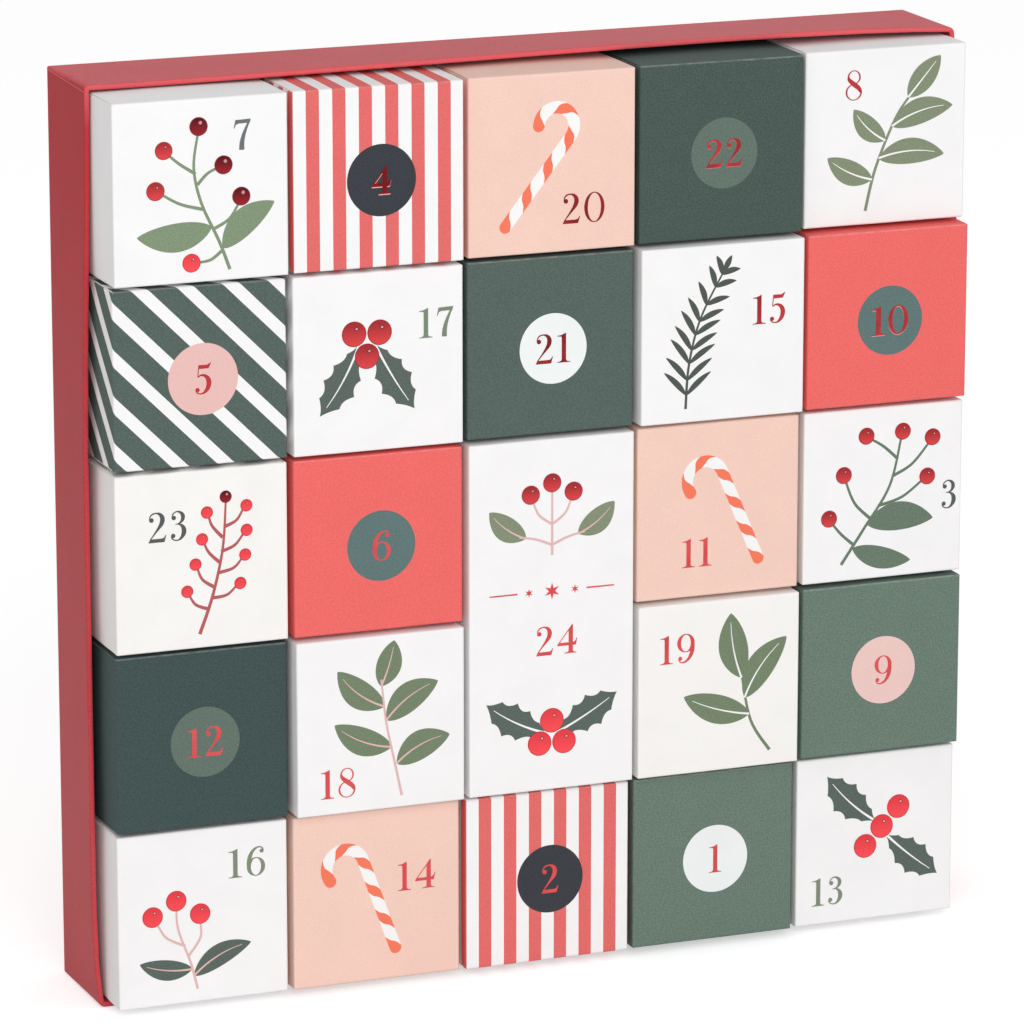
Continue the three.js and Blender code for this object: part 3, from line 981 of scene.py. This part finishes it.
# The cartons with a dot behind the number: card, the dot's ink and the number's ink
DOTTED = {
    "01": ("moss", "dot_white", "foil_bright"), "02": ("white", "dot_slate", "foil_bright"),
    "04": ("white", "dot_slate", "foil_wine"), "05": ("white", "dot_rose", "foil_deep"),
    "06": ("coral", "dot_teal", "foil_bright"), "09": ("moss", "dot_blush", "foil_bright"),
    "10": ("coral", "dot_teal", "foil_deep"), "12": ("spruce", "dot_sage", "foil_bright"),
    "21": ("fir", "dot_white", "foil_dark"), "22": ("pine", "dot_sage", "foil_deep"),
}
# The others: card, the number's middle in hundredths of the front's width, its ink, and the motif
PICTURED = {
    "03": ("white", (92, 46), "grey_green", spray(
        stems=[[(24, 10), (38, 30), (54, 54), (61, 82)], [(47, 43), (62, 47), (75, 56)],
               [(56, 60), (68, 66), (79, 78)], [(59, 70), (50, 78), (42, 83)],
               [(42, 36), (32, 46), (26, 60)], [(32, 21), (24, 28), (18, 35)]],
        leaves=[((40, 33), (82, 33), 17, 3), ((31, 19), (68, 9), 13, -2)],
        berries=[(62, 86, 5), (78, 58, 5), (81, 81, 5), (39, 85, 5), (25, 63, 5), (16, 38, 5)],
        leaf="fern", berry="berry_deep")),
    "07": ("white", (74, 80), "grey_blue", spray(
        stems=[[(66, 6), (60, 22), (50, 44), (46, 64), (49, 84)], [(48, 54), (54, 60), (61, 63)],
               [(47, 60), (38, 66), (31, 72)], [(52, 40), (38, 44), (26, 51)],
               [(57, 29), (66, 34), (72, 43)], [(62, 17), (55, 12), (47, 11)]],
        leaves=[((56, 30), (13, 27), 16, 3), ((62, 18), (92, 42), 15, 3)],
        berries=[(49, 86, 5.2), (63, 64, 5.2), (73, 46, 5.2)], leaf="sage", berry="berry_dark")
        + berry_layers([(29, 74, 5), (24, 52, 5.2)], "berry_deep")
        + berry_layers([(44, 11, 5.2)], "berry_bright")),
    "08": ("white", (30, 81), "foil_deep", spray(
        stems=[[(38, 8), (44, 32), (56, 60), (66, 74)]],
        leaves=[((64, 72), (84, 95), 14, 0), ((54, 56), (92, 66), 15, 3),
                ((46, 38), (87, 38), 15, 3), ((50, 48), (30, 67), 13, 2),
                ((42, 26), (14, 40), 14, 2)],
        leaf="olive", rib="white")),
    "11": ("peach", (37, 26), "foil_bright", cane((75.1, 19.3), (42, 67.8), 11.3, 215)),
    "13": ("white", (20, 20), "moss_green", holly(
        ((50, 60), (19, 90)), ((58, 50), (91, 23)), [(44, 45), (54.5, 56), (65, 67)])),
    "14": ("peach", (74, 60), "foil_bright", cane((61, 18.3), (31, 68.6), 11.3, 217)),
    "15": ("white", (78, 62), "foil_deep", spray(
        stems=[NEEDLE_STEM], leaves=needle_sprig(NEEDLE_STEM, 9, 20, 3.5), leaf="needle",
        stem_width=(0.9, 0.6))),
    "16": ("white", (76, 79), "moss_green", spray(
        stems=[[(46, 8), (42, 24), (35, 44), (34, 58)], [(39, 34), (28, 40), (22, 50)],
               [(41, 28), (48, 38), (48, 48)]],
        leaves=[((43, 20), (12, 26), 12, 2), ((44, 16), (78, 32), 13, 3)],
        berries=[(34, 61, 6), (20, 53, 6), (48, 52, 6)], leaf="holly", stem="pink", rib="pink")),
    "17": ("white", (84, 70), "leaf_green", holly(
        ((38, 60), (15, 22)), ((48, 60), (71, 22)), [(43, 54), (35.5, 67), (50.5, 67)],
        "berry_deep")),
    "18": ("white", (24, 18), "foil_bright", spray(
        stems=[[(62, 7), (58, 26), (53, 50), (50, 76)]],
        leaves=[((50, 72), (58, 98), 15, -1), ((53, 52), (84, 72), 17, 3),
                ((59, 26), (91, 40), 17, 3), ((52, 60), (24, 83), 16, 3),
                ((56, 36), (22, 52), 16, 3)],
        leaf="leaf", stem="pink", rib="pink")),
    "19": ("warm_white", (24, 75), "foil_bright", spray(
        stems=[[(82, 9), (70, 28), (64, 56)]],
        leaves=[((64, 54), (57, 93), 18, 2), ((69, 32), (28, 46), 17, 2),
                ((66, 42), (92, 76), 17, 3)],
        leaf="leaf", rib="white")),
    "20": ("peach", (69, 24), "foil_dark", cane((22, 16.2), (52.6, 71.3), 10.6, 176, 20.2, 0.4)),
    "23": ("warm_white", (30, 71), "grey_green", spray(
        stems=[[(48, 8), (56, 30), (62, 56), (64, 82)], [(53, 22), (46, 25), (42, 31)],
               [(57, 34), (50, 39), (47, 46)], [(60, 48), (54, 54), (51, 60)],
               [(62, 62), (56, 69), (54, 75)], [(55, 28), (64, 29), (70, 34)],
               [(59, 42), (68, 44), (73, 49)], [(61, 54), (69, 57), (74, 63)],
               [(63, 68), (70, 71), (74, 77)]],
        berries=[(41, 33, 3.5), (46, 48, 3.5), (50, 62, 3.5), (53, 77, 3.5), (72, 35, 3.5),
                 (75, 51, 3.5), (76, 65, 3.5), (76, 79, 3.5)],
        leaf="twig", stem_width=(1.2, 0.7)) + berry_layers([(64, 85, 3.5)], "berry_dark")),
    "24": ("white", (53, 88), "foil_bright", spray(
        stems=[[(50, 138), (50, 156), (50, 176)], [(50, 156), (42, 162), (38, 171)],
               [(50, 156), (58, 162), (62, 171)], [(50, 144), (40, 148), (30, 150)],
               [(50, 144), (60, 148), (70, 150)]],
        leaves=[((34, 149), (12, 166), 14, 2), ((66, 149), (88, 166), 14, -2)],
        berries=[(50, 180, 5.5), (37, 174, 5.5), (63, 174, 5.5)], leaf="olive", stem="pink",
        rib="pink", berry="berry_deep")
        + [("foil_bright", 1,
            [star(50, 117, 5, 1.9), star(36, 117, 2.6, 1), star(64, 117, 2.6, 1)]
            + stroke([(12, 117, 0.8), (29, 117, 1)]) + stroke([(71, 117, 1), (88, 117, 0.8)]))]
        + holly(((46, 34), (10, 54)), ((54, 34), (90, 54)), [(50, 41), (42.5, 28), (57.5, 28)])),
}
PRINTS = {day: (card, DOT_PLACE, ink, dot(dot_ink))
          for day, (card, dot_ink, ink) in DOTTED.items()}
PRINTS.update(PICTURED)


# Patterned cards: ink, the stripes' direction, and their period, start and pale band in shares of
# the front's width
PATTERNS = {
    "02": ("pattern_coral", (1, 0), 2 / 13, 0, 1 / 13),
    "04": ("pattern_coral", (1, 0), 2 / 13, 0, 1 / 13),
    "05": ("pattern_fir", (1, 1), 0.262, 0.106, 0.097),
}

# Numbers pressed in so deep that their lower edges catch the light, drawn as a painted highlight: a
# pale copy under each number, set lower. The highlight's ink and height, how far the strokes
# spread, and the number's height
PRESSED = {"04": ("foil_edge", 0.34, 0.13, 8.8), "10": ("foil_edge", 0.2, 0.13, 9.6),
           "22": ("foil_edge_dim", 0.2, 0.04, 9.1)}


def pressed_figures(text, middle, spread, height):
    """A number with fatter strokes, made of two copies side by side."""
    shift = Vector((spread, spread / 2))
    return figures(text, middle - shift, height) + figures(text, middle + shift, height)


def make_carton(day):
    box = carton_box(day)
    stock, number_place, number_ink, layers = PRINTS[day]
    if day in PATTERNS:
        ink, direction, *measures = PATTERNS[day]
        stripes = Stripes(direction, *(share * box.width for share in measures))
        carton_skin(box, STOCKS[stock], STOCKS[ink], stripes)
    else:
        carton_skin(box, STOCKS[stock])
    percent = box.width / 100
    for number, (ink, layer, shapes) in enumerate(layers):
        plate(f"print_{day}_{number}_{ink}", box, moved(shapes, percent), layer, INKS[ink])
    text = day.lstrip("0")
    middle = Vector(number_place) * percent
    if day in PRESSED:
        # A pale copy set lower shows under the number's strokes as a painted highlight
        highlight_ink, edge, *form = PRESSED[day]
        below = middle - Vector((0, edge))
        plate(f"number_edge_highlight_{day}", box, pressed_figures(text, below, *form), 2, INKS[highlight_ink])
        plate(f"number_{day}", box, pressed_figures(text, middle, *form), 3, INKS[number_ink])
    else:
        plate(f"number_{day}", box, figures(text, middle, NUMBER_HEIGHT), 2, INKS[number_ink])


def smooth(value):
    value = min(max(value, 0), 1)
    return value * value * (3 - 2 * value)


def bowed(tray, x, z, share):
    """Where a point of the tray's outline comes to lie: walls bow outward with their share of the
    way from the back to the rim. The left wall's bow dies away towards its top, and the top wall's
    towards the left."""
    side, upward = 2 * x / tray.width, z / tray.height
    across = (side + 1) / 2
    side_bow = SIDE_WALL_BOW * share * crown(upward, BOW_FLATNESS)
    if side < 0:
        side_bow = (SIDE_WALL_BOW * share * crown(upward, 2 * BOW_FLATNESS)
                    * smooth((1 - upward) / LEFT_BOW_REACH))
    top_bow = TOP_WALL_BOW * share * crown(across, BOW_FLATNESS) * smooth(across / TOP_BOW_REACH)
    return x + side * side_bow, z + upward * top_bow


def corner_radius(share):
    return BACK_CORNER_RADIUS + (RIM_CORNER_RADIUS - BACK_CORNER_RADIUS) * share


def tray_section(tray, inset, y):
    """Outline of the tray at a depth, this far inside its outer surface."""
    share = (tray.back - y) / tray.depth
    radius = max(corner_radius(share) - inset, PAPER)
    low_x, high_x = -tray.width / 2 + inset, tray.width / 2 - inset
    low_z, high_z = inset, tray.height - inset

    def crowded(length):
        return [length * (1 - math.cos(math.pi * (i + 1) / WALL_STEPS)) / 2
                for i in range(WALL_STEPS - 1)]

    def arc(x, z, start):
        turns = [math.radians(angle) for angle in range(start, start + 91, 15)]
        return [(x + radius * math.cos(t), z + radius * math.sin(t)) for t in turns]

    across = [place - tray.width / 2 for place in crowded(tray.width)]
    up = crowded(tray.height)
    outline = arc(low_x + radius, low_z + radius, 180) + [(x, low_z) for x in across]
    outline += arc(high_x - radius, low_z + radius, 270) + [(high_x, z) for z in up]
    outline += arc(high_x - radius, high_z - radius, 0) + [(x, high_z) for x in across[::-1]]
    outline += arc(low_x + radius, high_z - radius, 90) + [(low_x, z) for z in up[::-1]]
    return [(x, y, z) for x, z in (bowed(tray, *point, share) for point in outline)]


# Reds of the tray's paper: low and high on the walls, the paler low one a painted sheen; on the
# top, paler as painted sheen; and along the rim, paper pulled tight over it, paler with a painted
# highlight
LOW_SHEEN_RED = "#BE3F45"
HIGH_RED = "#B4282F"
TOP_SHEEN_RED = "#D05258"
RIM_RED = "#F26A70"
SEAM_RED = "#D9686C"


def tray_paper(tray):
    """Dyed, lightly coated paper with painted sheen, which makes it paler towards the bottom and on
    the top, and a paler rim where the paper is pulled tight over it, with a painted highlight that
    grows towards the top.
    """
    finish = Finish("tray_paper", 0.6)
    specks = finish.noise(0.6, 3)
    shade = finish.speckled(specks, 0.22, finish.noise(20), 0.03)
    place = finish.add("ShaderNodeSeparateXYZ", {0: finish.place})

    def ramp(axis, start, end, result=(0, 1)):
        return finish.spread(place.outputs[axis], (start * MM, end * MM), result)

    height = tray.height
    # Painted sheen: the paper goes from a deeper red at the top to a paler one at the bottom
    body = finish.mixed(ramp("Z", 0.2 * height, 0.9 * height),
                        finish.shaded(LOW_SHEEN_RED, shade), finish.shaded(HIGH_RED, shade))
    # Painted sheen: the top face is paler
    body = finish.mixed(ramp("Z", height - 1.2, height - 0.3), body, finish.shaded(TOP_SHEEN_RED, shade))
    # The rim is paler from paper pulled tight over it and from a painted highlight, most near the
    # top
    stretched_and_highlight = finish.math("MULTIPLY", ramp("Y", tray.rim + 1, tray.rim + 0.25),
                            ramp("Z", height - 14, height - 3, (0.15, 0.6)))
    finish.feed({"Base Color": finish.mixed(stretched_and_highlight, body, linear(RIM_RED) + [1]),
                 "Roughness": finish.spread(specks, MID_NOISE, (0.52, 0.66)),
                 "Specular IOR Level": 0.1, "Sheen Weight": 0.12, "Sheen Roughness": 0.3})
    finish.bump(specks, 0.05, 0.4)
    return finish.material


SEAM_WIDTH = 0.3
SEAM_HEIGHT = 0.06
SEAM_SUNK = 0.05
SEAM_STEPS = 12
# The seam's distance from the back edge, its share of the depth, and its gap to the corner
SEAM_START = 0.5
SEAM_REACH = 0.97
SEAM_GAP = 0.25


def add_seam(tray, side, name):
    """The cut edge of the wrap where its top flap is turned down over a side wall."""
    rings = []
    for i in range(SEAM_STEPS + 1):
        share = i / SEAM_STEPS
        y = tray.back - tray.depth * share * SEAM_REACH - SEAM_START
        top = tray.height - corner_radius(share) - SEAM_GAP
        low = top - SEAM_WIDTH
        profile = ((0, top), (SEAM_HEIGHT, top), (SEAM_HEIGHT, low), (0, low))
        placed = [bowed(tray, side * (tray.width / 2 + out - SEAM_SUNK), z, share)
                  for out, z in profile]
        rings.append([(x, y, z) for x, z in placed])
    mesh = closed_mesh(f"wrap_seam_{name}", bridged(rings))
    edge = paper("seam_pale_red", SEAM_RED, 0.1)
    new_object(f"wrap_seam_{name}", mesh, [edge], "tray", "tray_red")


def tray_sizes():
    low, high = (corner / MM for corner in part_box("cover_paper"))
    return SimpleNamespace(width=high.x - low.x - 2 * SIDE_WALL_BOW, height=high.z - TOP_WALL_BOW,
                           depth=high.y - low.y, back=high.y, rim=low.y)


def make_tray_wrap(tray):
    """The red paper over the tray's back and walls, turned in over the rim."""
    rim, back, edge = tray.rim, tray.back, tray.rim + TURN_IN
    rounding = RIM_ROUNDING
    turns = [math.radians(angle) for angle in (0, 22.5, 45, 67.5, 90)]
    outlines = [(PAPER, back - PAPER), (PAPER, edge), (PAPER, rim + PAPER),
                (BOARD_WALL - PAPER, rim + PAPER), (BOARD_WALL - PAPER, edge), (BOARD_WALL, edge),
                (BOARD_WALL, rim + 2 * rounding)]
    outlines += [(BOARD_WALL - rounding + rounding * math.cos(t),
                  rim + rounding - rounding * math.sin(t)) for t in turns]
    outlines += [(rounding - rounding * math.sin(t), rim + rounding - rounding * math.cos(t))
                 for t in turns]
    outlines += [(0, rim + 2 * rounding), (0, edge), (0, back - 2 * rounding), (0, back - rounding)]
    outlines += [(rounding - rounding * math.cos(t), back - rounding + rounding * math.sin(t))
                 for t in turns[1:]]
    rings = [tray_section(tray, inset, y) for inset, y in outlines]
    mesh = closed_mesh("tray_wrap", bridged(rings))
    mesh.shade_smooth()
    mesh.set_sharp_from_angle(angle=SHARP_ANGLE)
    wrap = new_object("tray_wrap", mesh, [tray_paper(tray)], "tray", "tray_red")
    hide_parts("cover_paper")
    for side, name in ((-1, "left"), (1, "right")):
        add_seam(tray, side, name)


def bowed_board(tray, name, outer, inner, material):
    """A wall board between two lines of the tray's outline, bowed like the paper round it."""
    inset = PAPER + GLUE_LINE
    bm = bmesh.new()
    rows = []
    for y in (tray.rim + inset, tray.rim + TURN_IN, tray.back - 2 * inset - BOARD + PAPER):
        share = (tray.back - y) / tray.depth
        lines = [[bowed(tray, *point, share) for point in line] for line in (outer, inner)]
        rows.append([[bm.verts.new((x, y, z)) for x, z in line] for line in lines])
    last = len(outer) - 1
    for i in range(last):
        for near, far in zip(rows, rows[1:]):
            for line in (0, 1):
                bm.faces.new((near[line][i], near[line][i + 1], far[line][i + 1], far[line][i]))
        for row in (rows[0], rows[-1]):
            bm.faces.new((row[0][i], row[0][i + 1], row[1][i + 1], row[1][i]))
    for near, far in zip(rows, rows[1:]):
        for end in (0, last):
            bm.faces.new((near[0][end], near[1][end], far[1][end], far[0][end]))
    mesh = closed_mesh(f"{name}_bowed", bm)
    made = new_object(f"{name}_bowed", mesh, [material], "tray", slot_of_node[name])
    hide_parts(name)


BOARD_STEPS = 24
TOP_BOARD_INSET = 1


def evenly(low, high, steps=BOARD_STEPS):
    return [low + (high - low) * i / steps for i in range(steps + 1)]


def dress_boards(tray):
    """The tray's boards and the paper that lines its back."""
    board = greyboard("board_grey", "#9B968C")
    outer = PAPER + GLUE_LINE
    inner = outer + BOARD
    top, left = tray.height, -tray.width / 2
    across = evenly(left + TOP_BOARD_INSET, -left - TOP_BOARD_INSET)
    bowed_board(tray, "top_board", [(x, top - outer) for x in across],
                [(x, top - inner) for x in across], board)
    up = evenly(inner + GLUE_LINE, top - inner - GLUE_LINE)
    bowed_board(tray, "left_board", [(left + outer, z) for z in up],
                [(left + inner, z) for z in up], board)
    lining = paper("lining_paper_white", "#E9E6E0", 0.03, 0.9, depth=0.04)
    for name, material in (("back_board", board), ("bottom_board", board), ("right_board", board),
                           ("lining_paper", lining)):
        materials = frame["nodes"][name].data.materials
        materials.clear()
        materials.append(material)


def add_camera():
    data = bpy.data.cameras.new("camera")
    data.sensor_width = SENSOR_WIDTH
    data.lens = FOCAL_PIXELS / FRAME_PIXELS * SENSOR_WIDTH
    data.clip_end = CLIP_END
    camera = in_scene("camera", data)
    camera.location = Vector(CAMERA_PLACE) * MM
    camera.rotation_euler = (math.radians(90 - CAMERA_ELEVATION), 0, math.radians(CAMERA_AZIMUTH))
    bpy.context.scene.camera = camera


def seen_ray(tree):
    """1 for a ray from the camera, or one that a mirror or a glass passes on."""
    path = tree.nodes.new("ShaderNodeLightPath").outputs
    seen = path["Is Camera Ray"]
    for kind in ("Is Glossy Ray", "Is Transmission Ray"):
        larger = add_node(tree, "ShaderNodeMath", {0: seen, 1: path[kind]}, operation="MAXIMUM")
        seen = larger.outputs[0]
    return seen


FLOOR_COLOUR = (0.85, 0.85, 0.85, 1)
FLOOR_LIFT = 0.5
FLOOR_HALF = 6
FLOOR_DROP = 0.0002


def add_floor():
    """A plain pale floor that is lifted to white where the camera sees it."""
    bm = bmesh.new()
    bmesh.ops.create_grid(bm, x_segments=1, y_segments=1, size=FLOOR_HALF / MM)
    mesh = scaled_mesh("floor", bm)
    floor = in_scene("floor", mesh)
    floor.location.z = -FLOOR_DROP
    finish = Finish("floor_white", 1)
    lift = finish.math("MULTIPLY", seen_ray(finish.tree), FLOOR_LIFT)
    finish.feed({"Base Color": FLOOR_COLOUR, "Specular IOR Level": 0,
                 "Emission Color": STUDIO_WHITE, "Emission Strength": lift})
    mesh.materials.append(finish.material)
    floor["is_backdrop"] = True


AMBIENT = 0.52
KEY_FALL = 1.37
KEY_DIRECTION = (0.28, 1, -0.43)
KEY_DISTANCE = 3.0
KEY_SOFTNESS = 45


def add_light():
    world = bpy.data.worlds.new("studio")
    bpy.context.scene.world = world
    world.use_nodes = True
    tree = world.node_tree
    lit = tree.nodes["Background"]
    fill(tree, lit, {"Color": STUDIO_WHITE, "Strength": AMBIENT})
    seen = add_node(tree, "ShaderNodeBackground", {"Color": STUDIO_WHITE})
    mix = add_node(tree, "ShaderNodeMixShader",
                   {0: seen_ray(tree), 1: lit.outputs[0], 2: seen.outputs[0]})
    fill(tree, tree.nodes["World Output"], {"Surface": mix.outputs[0]})

    radius = KEY_DISTANCE * math.tan(math.radians(KEY_SOFTNESS / 2))
    data = bpy.data.lights.new("key", "AREA")
    data.shape = "DISK"
    data.size = 2 * radius
    data.energy = KEY_FALL * math.pi * (radius ** 2 + KEY_DISTANCE ** 2)
    key = in_scene("key", data)
    toward = Vector(KEY_DIRECTION).normalized()
    key.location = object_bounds()[0].lerp(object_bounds()[1], 0.5) - toward * KEY_DISTANCE
    key.rotation_euler = toward.to_track_quat("-Z", "Y").to_euler()


add_camera()
add_floor()
add_light()
tray = tray_sizes()
make_tray_wrap(tray)
dress_boards(tray)
for day in sorted(PRINTS):
    make_carton(day)

bpy.context.scene.view_settings.view_transform = "Standard"
